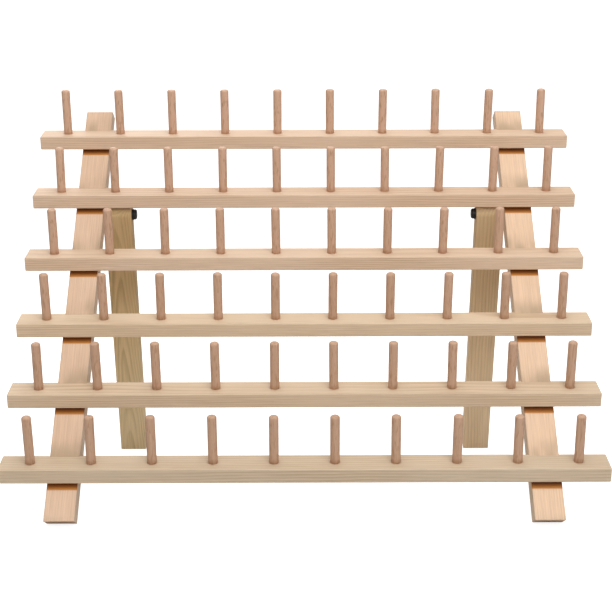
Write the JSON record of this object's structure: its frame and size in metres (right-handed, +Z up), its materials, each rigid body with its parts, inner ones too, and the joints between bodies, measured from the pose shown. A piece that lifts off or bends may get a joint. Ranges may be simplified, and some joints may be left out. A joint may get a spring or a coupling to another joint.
{
  "type": "spool holder stand",
  "caption": "Leaning wooden spool rack with slanted rails of upright pegs, held up by two folding rear legs.",
  "frame": {"origin": "on the table plane, under the middle of the stand in width and in depth", "axes": "+X along the rails to the right seen from the front, +Y to the back, +Z up"},
  "size_m": [0.4, 0.2422, 0.2862],
  "materials": {
    "rail_pine": "sanded bare pine",
    "upright_pine": "sanded bare pine",
    "leg_pine": "bare pine with plain grain",
    "peg_beech": "smooth turned dowel",
    "black_steel": "black",
    "screw_steel": "zinc plated"
  },
  "bodies": {
    "frame": {"rail_1": "rail_pine", "pegs_row_1": "peg_beech", "rail_2": "rail_pine", "pegs_row_2": "peg_beech", "rail_3": "rail_pine", "pegs_row_3": "peg_beech", "rail_4": "rail_pine", "pegs_row_4": "peg_beech", "rail_5": "rail_pine", "pegs_row_5": "peg_beech", "rail_6": "rail_pine", "pegs_row_6": "peg_beech", "upright_left": "upright_pine", "pivot_screw_left": "black_steel", "washer_left": "black_steel", "rail_screws_left": "screw_steel", "upright_right": "upright_pine", "pivot_screw_right": "black_steel", "washer_right": "black_steel", "rail_screws_right": "screw_steel"},
    "left_leg": {"leg_left": "leg_pine"},
    "right_leg": {"leg_right": "leg_pine"}
  },
  "joints": [
    {"name": "left_leg_fold", "type": "hinge", "parent": "frame", "child": "left_leg", "pos_m": [-0.1385, 0.04559, 0.19287], "axis": [1, 0, 0], "range_deg": [-46, 0]},
    {"name": "right_leg_fold", "type": "hinge", "parent": "frame", "child": "right_leg", "pos_m": [0.1385, 0.04559, 0.19287], "axis": [1, 0, 0], "range_deg": [-46, 0]}
  ]
}
